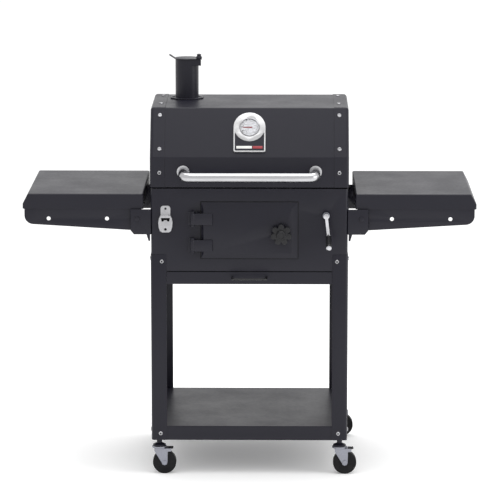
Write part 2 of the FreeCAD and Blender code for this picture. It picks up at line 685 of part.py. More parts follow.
def make_thermometer():
    ring = rod(("0", "0", "0"), UPRIGHT, "badge_half", "badge_thick")
    corner = [("badge_half", "0"), ("badge_half", "5 - badge_drop"), ("badge_half - 1.5", "1.5 - badge_drop"),
              ("badge_half - 5", "-badge_drop")]
    tail = prism("XY", "0", "badge_thick", corner + [("-(%s)" % x, y) for x, y in reversed(corner)])
    opening = rod(("0", "0", "1"), UPRIGHT, "dial_radius + 0.4", "badge_thick")
    window = box(("4 - badge_half", "4 - badge_drop", "badge_thick - 1.4"), ("2*badge_half - 8", "60", "2"))
    panel = cut(window, rod(("0", "0", "0"), UPRIGHT, "badge_half - 2", "2*badge_thick"))
    bore = rod(("0", "0", "-1"), UPRIGHT, "4", "4")
    keep(on_lean(cut(fused(ring, tail), opening, panel, bore), "dial_along", "0.05"), "badge_frame")
    case = turned([("0", "-55"), ("3", "-55"), ("3", "1.2"), ("dial_radius", "1.2"), ("dial_radius", "6.5"),
                   ("dial_radius - 2", "7"), ("dial_radius - 2", "3"), ("0", "3")], ("0", "0", "0"))
    keep(on_lean(case, "dial_along"), "thermometer_case")
    glass = rod(("0", "0", "0"), UPRIGHT, "dial_radius - 2.1", "1.2")
    keep(on_lean(glass, "dial_along", "5.2"), "thermometer_glass")
    needle = prism("XY", "0", "0.6", [
        ("8", "-1.6"), ("8", "1.6"), ("9 - dial_radius", "0.5"), ("9 - dial_radius", "-0.5")])
    keep(on_lean(needle, "dial_along", "3.8"), "thermometer_needle")


def make_chimney():
    centre = ("chimney_x", "front + chimney_y")
    low = "lid_high - sheet"
    reach, short = "flange_reach", "flange_reach*0.45"
    corners = [(a + reach, b + short) for a, b in (("", ""), ("", "-"))]
    corners += [(a + short, "-" + reach) for a in ("", "-")]
    corners += [("-" + reach, b + short) for b in ("-", "")]
    corners += [(a + short, reach) for a in ("-", "")]
    flange = prism("XY", low, "flange_thick", [
        ("%s + %s" % (centre[0], x), "%s + %s" % (centre[1], y)) for x, y in corners],
        holes=[(centre[0], centre[1], "chimney_radius + 0.1")])
    keep(flange, "chimney_flange")
    wall = rod((*centre, low), UPRIGHT, "chimney_radius", "chimney_top - lid_high + sheet")
    lug = box((centre[0], centre[1] + " + pivot_y - 6", "chimney_top - 18"), ("pivot_x + 6", "12", "18"))
    bore = rod((*centre, low + " - 1"), UPRIGHT, "chimney_radius - sheet", "chimney_top")
    pivot = (centre[0] + " + pivot_x", centre[1] + " + pivot_y")
    pin = rod((*pivot, "chimney_top - 2"), UPRIGHT, "3", "14")
    keep(fused(cut(fused(wall, lug), bore), pin), "chimney_tube")
    disc = rod((*centre, "chimney_top + 1"), UPRIGHT, "cap_radius", "2")
    ear = rod((*pivot, "chimney_top + 1"), UPRIGHT, "9", "2")
    arm = box((centre[0], centre[1] + " + pivot_y - 9", "chimney_top + 1"), ("pivot_x", "18", "2"))
    tab = put(prism("XZ", "0", "26", [
        ("-cap_radius + 3", "0"), ("-cap_radius - 14", "11"), ("-cap_radius - 15", "9.4"),
        ("-cap_radius + 1", "-1.2"), ("-cap_radius + 6", "-1.2"), ("-cap_radius + 6", "0")]),
        (centre[0], centre[1] + " - 13", "chimney_top + 3"))
    hole = rod((*pivot, "chimney_top - 1"), UPRIGHT, "3 + running", "8")
    keep(cut(fused(disc, ear, arm, tab), hole), "chimney_cap")
    nut = turned([("3 + running", "0"), ("9", "0"), ("9.5", "4"), ("6", "9"), ("7", "13"), ("0", "15"),
                  ("0", "8.6"), ("3 + running", "8.6")], (*pivot, "chimney_top + 4"))
    keep(nut, "chimney_cap_nut")


def make_lid_hinges():
    leaves, bases = [], []
    axis = ("front + lid_hinge_y", "lid_hinge_z")
    for across in ("-1", "1"):
        middle = across + "*lid_hinge_x"
        barrel = rod((middle + " - 15", *axis), RIGHTWARD, "lid_pin + 2.5", "30")
        leaf = prism("YZ", middle + " - 15", "30", [
            ("front + lid_hinge_y", "lid_hinge_z - 3"), ("front + lid_hinge_y", "lid_hinge_z + 3"),
            ("front + lid_rear - 2.5", "lid_hinge_z + 6"), ("front + lid_rear - 11.4", "lid_hinge_z + 28"),
            ("front + lid_rear - 14", "lid_hinge_z + 28"), ("front + lid_rear - 2.4", "lid_hinge_z - 2")])
        bore = rod((middle + " - 16", *axis), RIGHTWARD, "lid_pin + running", "32")
        leaves.append(cut(fused(barrel, leaf), bore))
        pin = rod((middle + " - 27", *axis), RIGHTWARD, "lid_pin", "54")
        lugs = []
        for start in (" - 27", " + 16"):
            lugs.append(rod((middle + start, *axis), RIGHTWARD, "lid_pin + 2.5", "11"))
            lugs.append(box((middle + start, "front + lid_hinge_y - 6.5", "body_top"),
                            ("11", "13", "lid_hinge_z - body_top")))
        bases.append(fused(pin, *lugs))
    ledge = box(("shell_round + 2 - shell_half", "front + lid_rear - 4", "body_top - sheet"),
                ("2*(shell_half - shell_round - 2)", "depth - lid_rear + 4 - 2*sheet", "sheet"))
    keep(group(*leaves), "lid_hinge_leaves")
    keep(fused(ledge, *bases), "lid_hinge_base")


def table_block(across, layer):
    """Solid side table, each layer one sheet smaller except underneath."""
    low = "table_top - table_apron - %d" % layer
    inner, outer = "table_inner + %d*sheet" % layer, "table_outer - %d*sheet" % layer
    block = prism("XZ", "front + table_front + %d*sheet" % layer, "table_depth - %d*2*sheet" % layer, [
        ("%s*(%s)" % (across, inner), low), ("%s*(%s)" % (across, inner), "table_top - %d*sheet" % layer),
        ("%s*(table_flat - %d)" % (across, layer), "table_top - %d*sheet" % layer),
        ("%s*(%s)" % (across, outer), "table_top - table_slope - %d*0.4" % layer),
        ("%s*(%s)" % (across, outer), low)])
    return rounded(block, "5 - %d*sheet" % layer, lambda edge: edge.BoundBox.ZMax > size(low) + 0.5)


def make_side_table(side):
    across = side_sign(side)
    keep(cut(table_block(across, 0), table_block(across, 1)), side + "_table_top")
    arms, brackets, studs = [], [], []
    front_y, rear_y = "front + table_front", "front + table_front + table_depth"
    for face_y, sign, inward in ((front_y + " - 8", "1", BACKWARD), (rear_y + " + 8", "-1", FORWARD)):
        arms.append(table_arm(across, "%s + %s*(11.6 - arm_thick/2) - arm_thick/2" % (face_y, sign)))
        brackets.append(table_bracket(across, face_y, sign))
        pivot_x = across + "*table_pivot_x"
        for depth, radius, length in (("-4", "7", "4"), ("3", "table_pin", "12"), ("12.3", "9", "3")):
            start = (pivot_x, "%s + %s*(%s)" % (face_y, sign, depth), "table_pivot_z")
            studs.append(rod(start, inward, radius, length))
    keep(group(*arms), side + "_table_arms")
    return brackets, [studs[0], fused(*studs[1:3]), studs[3], fused(*studs[4:6])]


def table_arm(across, level):
    inner_x, low_x = across + "*(table_pivot_x - arm_end + 6)", across + "*(table_pivot_x - 10)"
    outer_x, upper_x = across + "*(table_outer - 5.5)", across + "*(table_pivot_x - 13)"
    plate = prism("XZ", level, "arm_thick", [
        (upper_x, "table_top - 10"), (upper_x, "table_top - table_apron - 3"), (inner_x, "table_pivot_z + 12"),
        (inner_x, "table_pivot_z - 12"), (low_x, "arm_inner_low"), (outer_x, "arm_outer_low"),
        (outer_x, "table_top - table_slope - 4"), (across + "*(table_flat - 8)", "table_top - 10")],
        holes=[(across + "*table_pivot_x", "table_pivot_z", "table_pin + running"),
               (across + "*hole_near", "hole_z", "tool_hole"), (across + "*hole_far", "hole_z", "tool_hole")])
    outer, corner = size(outer_x), size("arm_outer_low")
    rounded(plate, "arm_round", lambda edge: at_point(edge, "Y", outer, corner))
    inner = [(size(inner_x), size("table_pivot_z - 12")), (size(low_x), size("arm_inner_low"))]
    return rounded(plate, "12", lambda edge: any(at_point(edge, "Y", x, z) for x, z in inner))


def table_bracket(across, face_y, sign):
    """Angle bracket on the cabinet wall, with a short stop peg under it."""
    cheek = prism("XZ", "%s + %s*1.5 - 1.5" % (face_y, sign), "3", [
        (across + "*(half_width - sheet)", "bracket_low"), (across + "*(bracket_reach - 10)", "bracket_low"),
        (across + "*bracket_reach", "bracket_low + 12"), (across + "*bracket_reach", "bracket_high"),
        (across + "*(half_width - sheet)", "bracket_high")])
    wall = prism("XZ", "%s + %s*15 - 15" % (face_y, sign), "30", rectangle(
        across + "*(half_width - sheet)", "bracket_low", across + "*half_width", "bracket_high"))
    peg = prism("XZ", "%s + %s*1.5 - 1.5" % (face_y, sign), "3", [
        (across + "*(half_width + 1)", "bracket_low"), (across + "*(half_width + 12)", "bracket_low"),
        (across + "*(half_width + 6)", "bracket_low - 20"),
        (across + "*(half_width + 1)", "bracket_low - 20")])
    return fused(cheek, wall, peg)


def make_side_tables():
    brackets, studs = [], []
    for side in ("left", "right"):
        more_brackets, more_studs = make_side_table(side)
        brackets += more_brackets
        studs += more_studs
    keep(group(*brackets), "table_brackets")
    keep(group(*studs), "table_pivots")


def make_caster(side, end):
    x = side_sign(side) + "*stem_x"
    y = "front + depth/2 %s stem_y" % ("-" if end == "front" else "+")
    race = turned([("0", "0"), ("21", "0"), ("22.5", "1"), ("22.5", "5.5"), ("21", "6.5"), ("0", "6.5")],
                  (x, y, "wheel_radius + 44"))
    plate = box((x + " - 15", y + " - fork_inner - fork_wall", "wheel_radius + 41.5"),
                ("41", "2*fork_inner + 2*fork_wall", "2.5"))
    bore = rod((x, y, "wheel_radius + 40"), UPRIGHT, "kingpin + running", "12")
    legs = []
    for level in (y + " - fork_inner - fork_wall", y + " + fork_inner"):
        legs.append(prism("XZ", level, "fork_wall", [
            (x + " - 15", "wheel_radius + 44"), (x + " - 15", "wheel_radius + 36"),
            (x + " + trail - 9", "wheel_radius"), (x + " + trail - 6.4", "wheel_radius - 6.4"),
            (x + " + trail", "wheel_radius - 9"), (x + " + trail + 6.4", "wheel_radius - 6.4"),
            (x + " + trail + 9", "wheel_radius"), (x + " + 26", "wheel_radius + 34"),
            (x + " + 37", "wheel_radius + 35"), (x + " + 37", "wheel_radius + 44")]))
    axle_y = y + " - fork_inner - fork_wall"
    axle = rod((x + " + trail", axle_y + " - 3", "wheel_radius"), BACKWARD, "axle",
               "2*fork_inner + 2*fork_wall + 6")
    heads = [rod((x + " + trail", level, "wheel_radius"), BACKWARD, "7", "3") for level in (
        axle_y + " - 3", y + " + fork_inner + fork_wall")]
    parts = [cut(fused(race, plate), bore), axle] + legs + heads
    if end == "front":
        parts.append(rod((x + " + brake_x", axle_y, "wheel_radius + 39.5"), BACKWARD, "2",
                         "2*fork_inner + 2*fork_wall"))
        make_brake_pedal(side, x, y)
    keep(fused(*parts), "%s_%s_caster_fork" % (end, side))
    keep(turned(wheel_section(), (x + " + trail", y, "wheel_radius"), FORWARD), "%s_%s_wheel" % (end, side))
    return turned([("0", "shelf_top - sheet"), ("0", "wheel_radius + 39"), ("8", "wheel_radius + 39"),
                   ("8", "wheel_radius + 41"), ("kingpin", "wheel_radius + 41"),
                   ("kingpin", "wheel_radius + 51.5"), ("19.5", "wheel_radius + 51.5"),
                   ("19.5", "wheel_radius + 55"), ("8", "wheel_radius + 60"), ("8", "foot"),
                   ("12", "foot"), ("12", "shelf_top - sheet")], (x, y, "0"))


def wheel_section():
    half = [("axle + running", "wheel_half + 2"), ("10", "wheel_half + 2"), ("12", "wheel_half - 3"),
            ("wheel_radius - 12", "wheel_half - 3"), ("wheel_radius - 10", "wheel_half"),
            ("wheel_radius - 3", "wheel_half"), ("wheel_radius", "wheel_half - 3")]
    return half + [(radius, "-(%s)" % level) for radius, level in reversed(half)]


def make_brake_pedal(side, x, y):
    level = "wheel_radius + 39.5"
    pivot = x + " + brake_x"
    barrel = rod((pivot, y + " - 13", level), BACKWARD, "4", "26")
    plate = prism("XZ", y + " - 11", "22", [
        (pivot, level + " + 3.9"), (pivot + " + 10", level + " + 6.6"), (pivot + " + 11", level + " + 4"),
        (pivot + " + 2", level + " + 1.4")])
    bore = rod((pivot, y + " - 14", level), BACKWARD, "2 + running", "28")
    keep(cut(fused(barrel, plate), bore), "%s_brake_pedal" % side)


def make_casters():
    stems = [make_caster(side, end) for end in ("front", "rear") for side in ("left", "right")]
    keep(group(*stems), "caster_stems")


def check_model():
    doc.recompute()
    failed = [thing.Name for thing in doc.Objects if "Invalid" in thing.State or "Error" in thing.State]
    if failed:
        raise RuntimeError("failed features: %s" % ", ".join(failed))
    for piece in pieces:
        if piece.Shape.isNull() or not piece.Shape.isValid():
            raise RuntimeError("bad shape in " + piece.Label)


def write_pieces():
    os.makedirs("parts", exist_ok=True)
    for piece in pieces:
        piece.Shape.exportStep(os.path.join("parts", piece.Label + ".step"))


def main():
    fill_sheet()
    for end in ("front", "rear"):
        for side in ("left", "right"):
            make_leg(side, end)
    make_bottom_shelf()
    make_cabinet_panels()
    make_drawer_rails()
    make_cooking_grates()
    make_ash_drawer()
    make_charcoal_door()
    make_door_hinges()
    make_door_knob()
    make_bottle_opener()
    make_charcoal_tray()
    make_tray_guides()
    make_crank()
    make_lid_shell()
    make_lid_end("left")
    make_lid_end("right")
    make_lid_handle()
    make_lid_hinges()
    make_lid_screws()
    make_thermometer()
    make_chimney()
    make_side_tables()
    make_casters()
    make_frame_screws()
    check_model()
    write_pieces()


main()
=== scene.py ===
import bpy
import json
import math
from mathutils import Matrix, Vector


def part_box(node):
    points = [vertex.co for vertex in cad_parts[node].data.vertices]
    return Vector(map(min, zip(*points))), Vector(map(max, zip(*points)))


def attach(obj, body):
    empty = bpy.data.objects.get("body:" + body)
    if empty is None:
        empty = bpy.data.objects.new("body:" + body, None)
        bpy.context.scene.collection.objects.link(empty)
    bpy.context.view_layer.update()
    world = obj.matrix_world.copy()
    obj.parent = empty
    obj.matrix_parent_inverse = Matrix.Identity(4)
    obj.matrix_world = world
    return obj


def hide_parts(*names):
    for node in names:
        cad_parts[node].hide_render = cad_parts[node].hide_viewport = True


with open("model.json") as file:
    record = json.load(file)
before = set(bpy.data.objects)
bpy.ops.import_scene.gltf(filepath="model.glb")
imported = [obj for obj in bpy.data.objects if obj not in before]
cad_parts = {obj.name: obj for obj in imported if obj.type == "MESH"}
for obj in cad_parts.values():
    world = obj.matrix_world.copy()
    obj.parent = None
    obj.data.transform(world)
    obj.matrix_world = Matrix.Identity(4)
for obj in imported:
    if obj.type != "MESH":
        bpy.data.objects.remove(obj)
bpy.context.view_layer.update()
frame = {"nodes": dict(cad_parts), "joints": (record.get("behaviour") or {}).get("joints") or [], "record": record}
bpy.ops.object.select_all(action="DESELECT")
print("frame loaded:", len(frame["nodes"]), "nodes")


def newGroup(name, inputs, outputs):
    group = bpy.data.node_groups.new(name, "ShaderNodeTree")
    for label, kind, value in inputs:
        socket = group.interface.new_socket(label, in_out="INPUT", socket_type="NodeSocket" + kind)
        socket.default_value = value
    for label, kind in outputs:
        group.interface.new_socket(label, in_out="OUTPUT", socket_type="NodeSocket" + kind)
    return group


def addNode(tree, kind, values=(), **settings):
    node = tree.nodes.new("ShaderNode" + kind)
    for key, value in settings.items():
        setattr(node, key, value)
    for key, value in values:
        node.inputs[key].default_value = value
    return node


def noiseFrom(tree, vector, scale, detail=3.0, rough=0.55):
    noise = addNode(tree, "TexNoise", [("Scale", scale), ("Detail", detail), ("Roughness", rough)])
    tree.links.new(vector, noise.inputs["Vector"])
    return noise.outputs["Fac"]


def spread(tree, value, low, high, fromLow=0.3, fromHigh=0.7):
    ranged = addNode(tree, "MapRange", [(1, fromLow), (2, fromHigh), (3, low), (4, high)])
    tree.links.new(value, ranged.inputs[0])
    return ranged.outputs[0]


def math2(tree, operation, first, second):
    node = addNode(tree, "Math", operation=operation)
    for place, value in enumerate((first, second)):
        if isinstance(value, (int, float)):
            node.inputs[place].default_value = value
        else:
            tree.links.new(value, node.inputs[place])
    return node.outputs[0]


def tinted(tree, amount, first, second):
    mix = addNode(tree, "Mix", data_type="RGBA")
    for key, kind, value in (("Factor", "VALUE", amount), ("A", "RGBA", first), ("B", "RGBA", second)):
        socket = [each for each in mix.inputs if each.name == key and each.type == kind][0]
        if isinstance(value, (int, float, tuple)):
            socket.default_value = value
        else:
            tree.links.new(value, socket)
    return [each for each in mix.outputs if each.type == "RGBA"][0]


def makeEdgeWear():
    # bright where the surface turns sharply, broken up by noise
    group = newGroup("edgeWear", [("Radius", "Float", 0.0012), ("Patch", "Float", 60.0)], [("Mask", "Float")])
    inputs, outputs = group.nodes.new("NodeGroupInput"), group.nodes.new("NodeGroupOutput")
    bevel = addNode(group, "Bevel", samples=4)
    group.links.new(inputs.outputs["Radius"], bevel.inputs["Radius"])
    geometry = addNode(group, "NewGeometry")
    dot = addNode(group, "VectorMath", operation="DOT_PRODUCT")
    group.links.new(bevel.outputs[0], dot.inputs[0])
    group.links.new(geometry.outputs["Normal"], dot.inputs[1])
    edge = spread(group, dot.outputs["Value"], 1.0, 0.0, 0.7, 0.98)
    place = addNode(group, "TexCoord").outputs["Object"]
    noise = addNode(group, "TexNoise", [("Detail", 4.0)])
    group.links.new(place, noise.inputs["Vector"])
    group.links.new(inputs.outputs["Patch"], noise.inputs["Scale"])
    broken = spread(group, noise.outputs["Fac"], 0.0, 1.0, 0.42, 0.62)
    group.links.new(math2(group, "MULTIPLY", edge, broken), outputs.inputs["Mask"])
    return group


def makePowder(edgeWear):
    group = newGroup("powderCoat", [
        ("Base", "Color", (0.012, 0.012, 0.014, 1)), ("Rough", "Float", 0.42), ("Grain", "Float", 650.0),
        ("Wear", "Float", 0.3), ("Dust", "Float", 0.1)],
        [("Color", "Color"), ("Roughness", "Float"), ("Height", "Float")])
    inputs, outputs = group.nodes.new("NodeGroupInput"), group.nodes.new("NodeGroupOutput")
    coord = addNode(group, "TexCoord").outputs["Object"]
    grain = addNode(group, "TexNoise", [("Detail", 2.0)])
    group.links.new(coord, grain.inputs["Vector"])
    group.links.new(inputs.outputs["Grain"], grain.inputs["Scale"])
    cloud = noiseFrom(group, coord, 7.0, 5.0)
    fine = noiseFrom(group, coord, 95.0, 4.0)
    worn = addNode(group, "Group", node_tree=edgeWear)
    wear = math2(group, "MULTIPLY", worn.outputs["Mask"], inputs.outputs["Wear"])
    dusty = math2(group, "MULTIPLY", spread(group, cloud, 0.0, 1.0), inputs.outputs["Dust"])
    soft = tinted(group, dusty, inputs.outputs["Base"], (0.05, 0.048, 0.046, 1))
    color = tinted(group, wear, soft, (0.16, 0.16, 0.165, 1))
    group.links.new(color, outputs.inputs["Color"])
    varied = math2(group, "ADD", spread(group, cloud, -0.05, 0.05), spread(group, fine, -0.025, 0.025))
    group.links.new(math2(group, "ADD", inputs.outputs["Rough"], varied), outputs.inputs["Roughness"])
    group.links.new(math2(group, "ADD", grain.outputs["Fac"], math2(group, "MULTIPLY", fine, 0.6)),
                    outputs.inputs["Height"])
    return group


def makeBrushed():
    group = newGroup("brushedMetal", [
        ("Base", "Color", (0.6, 0.6, 0.61, 1)), ("Rough", "Float", 0.25),
        ("Stretch", "Vector", (3.0, 320.0, 320.0)), ("Depth", "Float", 1.0)],
        [("Color", "Color"), ("Roughness", "Float"), ("Height", "Float")])
    inputs, outputs = group.nodes.new("NodeGroupInput"), group.nodes.new("NodeGroupOutput")
    coord = addNode(group, "TexCoord").outputs["Object"]
    stretch = addNode(group, "VectorMath", operation="MULTIPLY")
    group.links.new(coord, stretch.inputs[0])
    group.links.new(inputs.outputs["Stretch"], stretch.inputs[1])
    lines = noiseFrom(group, stretch.outputs[0], 4.0, 3.0)
    smear = noiseFrom(group, coord, 14.0, 4.0)
    shade = tinted(group, spread(group, lines, 0.0, 0.35), inputs.outputs["Base"], (0.2, 0.2, 0.205, 1))
    group.links.new(tinted(group, spread(group, smear, 0.0, 0.18), shade, (0.32, 0.31, 0.3, 1)),
                    outputs.inputs["Color"])
    varied = math2(group, "ADD", spread(group, lines, -0.06, 0.08), spread(group, smear, -0.05, 0.08))
    group.links.new(math2(group, "ADD", inputs.outputs["Rough"], varied), outputs.inputs["Roughness"])
    group.links.new(math2(group, "MULTIPLY", lines, inputs.outputs["Depth"]), outputs.inputs["Height"])
    return group


def makeMoulded(edgeWear):
    group = newGroup("mouldedPlastic", [
        ("Base", "Color", (0.02, 0.02, 0.02, 1)), ("Rough", "Float", 0.5), ("Grain", "Float", 1500.0)],
        [("Color", "Color"), ("Roughness", "Float"), ("Height", "Float")])
    inputs, outputs = group.nodes.new("NodeGroupInput"), group.nodes.new("NodeGroupOutput")
    coord = addNode(group, "TexCoord").outputs["Object"]
    pores = addNode(group, "TexVoronoi")
    group.links.new(coord, pores.inputs["Vector"])
    group.links.new(inputs.outputs["Grain"], pores.inputs["Scale"])
    patch = noiseFrom(group, coord, 40.0, 4.0)
    worn = addNode(group, "Group", node_tree=edgeWear)
    scuffed = tinted(group, math2(group, "MULTIPLY", worn.outputs["Mask"], 0.25), inputs.outputs["Base"],
                     (0.12, 0.12, 0.12, 1))
    group.links.new(tinted(group, spread(group, patch, 0.0, 0.2), scuffed, (0.045, 0.044, 0.043, 1)),
                    outputs.inputs["Color"])
    group.links.new(math2(group, "ADD", inputs.outputs["Rough"], spread(group, patch, -0.07, 0.07)),
                    outputs.inputs["Roughness"])
    group.links.new(pores.outputs["Distance"], outputs.inputs["Height"])
    return group


edgeWear = makeEdgeWear()
powderCoat = makePowder(edgeWear)
brushedMetal = makeBrushed()
mouldedPlastic = makeMoulded(edgeWear)


def makeMaterial(name, group, values, bump=0.15, bumpDistance=0.0002, rounding=0.0, **plain):
    material = bpy.data.materials.new(name)
    material.use_nodes = True
    tree = material.node_tree
    shader = tree.nodes["Principled BSDF"]
    finish = addNode(tree, "Group", node_tree=group)
    for key, value in values.items():
        finish.inputs[key].default_value = value
    tree.links.new(finish.outputs["Color"], shader.inputs["Base Color"])
    tree.links.new(finish.outputs["Roughness"], shader.inputs["Roughness"])
    dent = addNode(tree, "Bump", [("Strength", bump), ("Distance", bumpDistance)])
    tree.links.new(finish.outputs["Height"], dent.inputs["Height"])
    if rounding:
        bevel = addNode(tree, "Bevel", [("Radius", rounding)], samples=6)
        tree.links.new(bevel.outputs[0], dent.inputs["Normal"])
    tree.links.new(dent.outputs[0], shader.inputs["Normal"])
    for key, value in plain.items():
        shader.inputs[key.replace("_", " ")].default_value = value
    return material


finishes = {
    "satinBlack": makeMaterial("satinBlack", powderCoat, {"Base": (0.0088, 0.0084, 0.0152, 1), "Rough": 0.38,
                               "Wear": 0.12, "Dust": 0.04}, 0.12, 0.00012, 0.0008, Specular_IOR_Level=0.27),
    "glossBlack": makeMaterial("glossBlack", powderCoat, {"Base": (0.004, 0.004, 0.005, 1), "Rough": 0.14,
                               "Wear": 0.1, "Dust": 0.02}, 0.05, 0.0001, 0.0008),
    "sootyEnamel": makeMaterial("sootyEnamel", powderCoat, {"Base": (0.012, 0.011, 0.0105, 1), "Rough": 0.62,
                                "Wear": 0.1, "Dust": 0.5, "Grain": 380.0}, 0.3, 0.0003, 0.0006),
    "castIron": makeMaterial("castIron", powderCoat, {"Base": (0.016, 0.015, 0.014, 1), "Rough": 0.58,
                             "Wear": 0.3, "Dust": 0.3, "Grain": 260.0}, 0.5, 0.0006, 0.001, Metallic=0.4),
    "brushedStainless": makeMaterial("brushedStainless", brushedMetal, {"Base": (0.58, 0.58, 0.6, 1),
                                     "Rough": 0.2}, 0.08, 0.00008, 0.0, Metallic=1.0),
    "badgeSteel": makeMaterial("badgeSteel", brushedMetal, {"Base": (0.6, 0.6, 0.61, 1), "Rough": 0.36,
                               "Stretch": (260.0, 60.0, 60.0)}, 0.1, 0.00008, 0.0005, Metallic=0.85),
    "caseSteel": makeMaterial("caseSteel", brushedMetal, {"Base": (0.42, 0.42, 0.44, 1), "Rough": 0.18,
                              "Stretch": (60.0, 60.0, 60.0)}, 0.05, 0.00005, 0.0005, Metallic=1.0),
    "screwChrome": makeMaterial("screwChrome", brushedMetal, {"Base": (0.4, 0.4, 0.42, 1), "Rough": 0.2,
                                "Stretch": (40.0, 40.0, 40.0)}, 0.04, 0.00005, 0.0005, Metallic=1.0),
    "brightChrome": makeMaterial("brightChrome", brushedMetal, {"Base": (0.62, 0.62, 0.65, 1), "Rough": 0.14,
                                 "Stretch": (40.0, 40.0, 40.0)}, 0.04, 0.00005, 0.0005, Metallic=1.0),
    "castZinc": makeMaterial("castZinc", brushedMetal, {"Base": (0.5, 0.5, 0.52, 1), "Rough": 0.4,
                             "Stretch": (170.0, 170.0, 170.0)}, 0.5, 0.0004, 0.0008, Metallic=0.9),
    "brightZinc": makeMaterial("brightZinc", brushedMetal, {"Base": (0.3, 0.31, 0.36, 1), "Rough": 0.36,
                               "Stretch": (70.0, 70.0, 70.0)}, 0.2, 0.0002, 0.0006, Metallic=1.0),
    "knobPlastic": makeMaterial("knobPlastic", mouldedPlastic,
                                {"Base": (0.004, 0.004, 0.006, 1), "Rough": 0.42},
                                0.12, 0.0001, 0.0008, Specular_IOR_Level=0.35),
    "tyreBlack": makeMaterial("tyreBlack", mouldedPlastic, {"Base": (0.004, 0.004, 0.005, 1), "Rough": 0.5,
                              "Grain": 900.0}, 0.25, 0.0002, 0.0006, Specular_IOR_Level=0.15),
    "dialWhite": makeMaterial("dialWhite", mouldedPlastic,
                              {"Base": (0.62, 0.62, 0.62, 1), "Rough": 0.35}, 0.03),
    "markGrey": makeMaterial("markGrey", mouldedPlastic,
                             {"Base": (0.06, 0.06, 0.066, 1), "Rough": 0.5}, 0.03),
    # dark finish; it also paints shade in the screw sockets, the opener's mouth and around the door
    "darkPartsAndPaintedShade": makeMaterial("darkPartsAndPaintedShade", mouldedPlastic, {"Base": (0.006, 0.006, 0.007, 1), "Rough": 0.6},
                               0.03, Specular_IOR_Level=0.1),
    "stripeIvory": makeMaterial("stripeIvory", mouldedPlastic,
                                {"Base": (0.72, 0.72, 0.7, 1), "Rough": 0.4}, 0.05),
    "stripeRed": makeMaterial("stripeRed", mouldedPlastic,
                              {"Base": (0.32, 0.02, 0.03, 1), "Rough": 0.4}, 0.05),
    "needleRed": makeMaterial("needleRed", powderCoat, {"Base": (0.3, 0.02, 0.03, 1), "Rough": 0.35,
                              "Wear": 0.05, "Dust": 0.0}, 0.05),
}


def makeGlass():
    material = makeMaterial("dialGlass", mouldedPlastic, {"Base": (0.95, 0.97, 0.98, 1), "Rough": 0.05}, 0.01)
    shader = material.node_tree.nodes["Principled BSDF"]
    shader.inputs["Transmission Weight"].default_value = 0.95
    shader.inputs["IOR"].default_value = 1.3
    shader.inputs["Alpha"].default_value = 0.25
    return material


finishes["dialGlass"] = makeGlass()
slotFinish = {
    "black_paint": "satinBlack", "inner_enamel": "sootyEnamel", "cast_iron": "castIron",
    "stainless": "brushedStainless", "chrome": "brightChrome", "zinc": "brightZinc",
    "knob_plastic": "knobPlastic", "wheel_plastic": "tyreBlack", "pedal_plastic": "knobPlastic",
    "dial_glass": "dialGlass", "needle_paint": "needleRed",
}
slotOf = {part["node"]: part["material_slot"] for part in frame["record"]["subparts"]}
nodeFinish = {node: slotFinish[slotOf[node]] for node in frame["nodes"]}
nodeFinish["badge_frame"] = "badgeSteel"
nodeFinish["thermometer_case"] = "caseSteel"
nodeFinish["bottle_opener"] = "castZinc"
nodeFinish["caster_stems"] = "satinBlack"
nodeFinish["drawer_handle"] = "glossBlack"
nodeFinish["lid_screws"] = nodeFinish["frame_screws"] = "screwChrome"


def wear(piece, finish):
    piece.data.materials.clear()
    piece.data.materials.append(finishes[finish])


for nodeName, node in frame["nodes"].items():
    wear(node, nodeFinish[nodeName])
print("finishes ready:", len(finishes))


def only(piece):
    bpy.ops.object.select_all(action="DESELECT")
    piece.select_set(True)
    bpy.context.view_layer.objects.active = piece


def settled(piece):
    only(piece)
    bpy.ops.object.transform_apply(location=True, rotation=True, scale=True)
    return piece


def applyModifiers(piece):
    only(piece)
    for modifier in list(piece.modifiers):
        bpy.ops.object.modifier_apply(modifier=modifier.name)


def bodyOf(nodeName):
    groups = frame["record"]["behaviour"]["bodies"]
    return [body for body, members in groups.items() if nodeName in members][0]


def finishPiece(piece, name, body, finish):
    piece.name = name
    piece.data.name = name
    if finish:
        wear(piece, finish)
    only(piece)
    bpy.ops.object.shade_smooth_by_angle(angle=math.radians(32))
    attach(piece, body)
    return piece


def softened(nodeName, name, width, segments=2):
    # a copy of the sheet or casting with its sharp edges rolled over
    source = frame["nodes"][nodeName]
    piece = bpy.data.objects.new(name, source.data.copy())
    bpy.context.scene.collection.objects.link(piece)
    only(piece)
    bpy.ops.object.mode_set(mode="EDIT")
    bpy.ops.mesh.select_all(action="SELECT")
    bpy.ops.mesh.remove_doubles(threshold=0.00002)
    bpy.ops.mesh.dissolve_limited(angle_limit=math.radians(0.6))
    bpy.ops.object.mode_set(mode="OBJECT")
    bevel = piece.modifiers.new("rolledEdges", "BEVEL")
    bevel.width = width
    bevel.segments = segments
    bevel.limit_method = "ANGLE"
    bevel.angle_limit = math.radians(50)
    bevel.use_clamp_overlap = True
    bevel.harden_normals = False
    applyModifiers(piece)
    finishPiece(piece, name, bodyOf(nodeName), nodeFinish[nodeName])
    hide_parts(nodeName)
    return piece


rolledEdges = {   # width of the rolled edge on each sheet or casting, metres
    "front_panel": 0.0004, "charcoal_door": 0.0006, "drawer_front": 0.0004, "door_straps": 0.0006,
    "door_hinge_brackets": 0.0005, "bottle_opener": 0.0009, "door_knob": 0.0014,
    "left_table_arms": 0.0005, "right_table_arms": 0.0005, "table_brackets": 0.0006,
    "front_left_leg": 0.0004, "front_right_leg": 0.0004, "rear_left_leg": 0.0004, "rear_right_leg": 0.0004,
    "chimney_flange": 0.0008, "chimney_cap": 0.0006, "crank_arm": 0.0008, "badge_frame": 0.0007,
    "cooking_grates": 0.0012, "chimney_cap_nut": 0.0006, "table_pivots": 0.0008,
}


def joint(name):
    return [each for each in frame["joints"] if each["name"] == name][0]


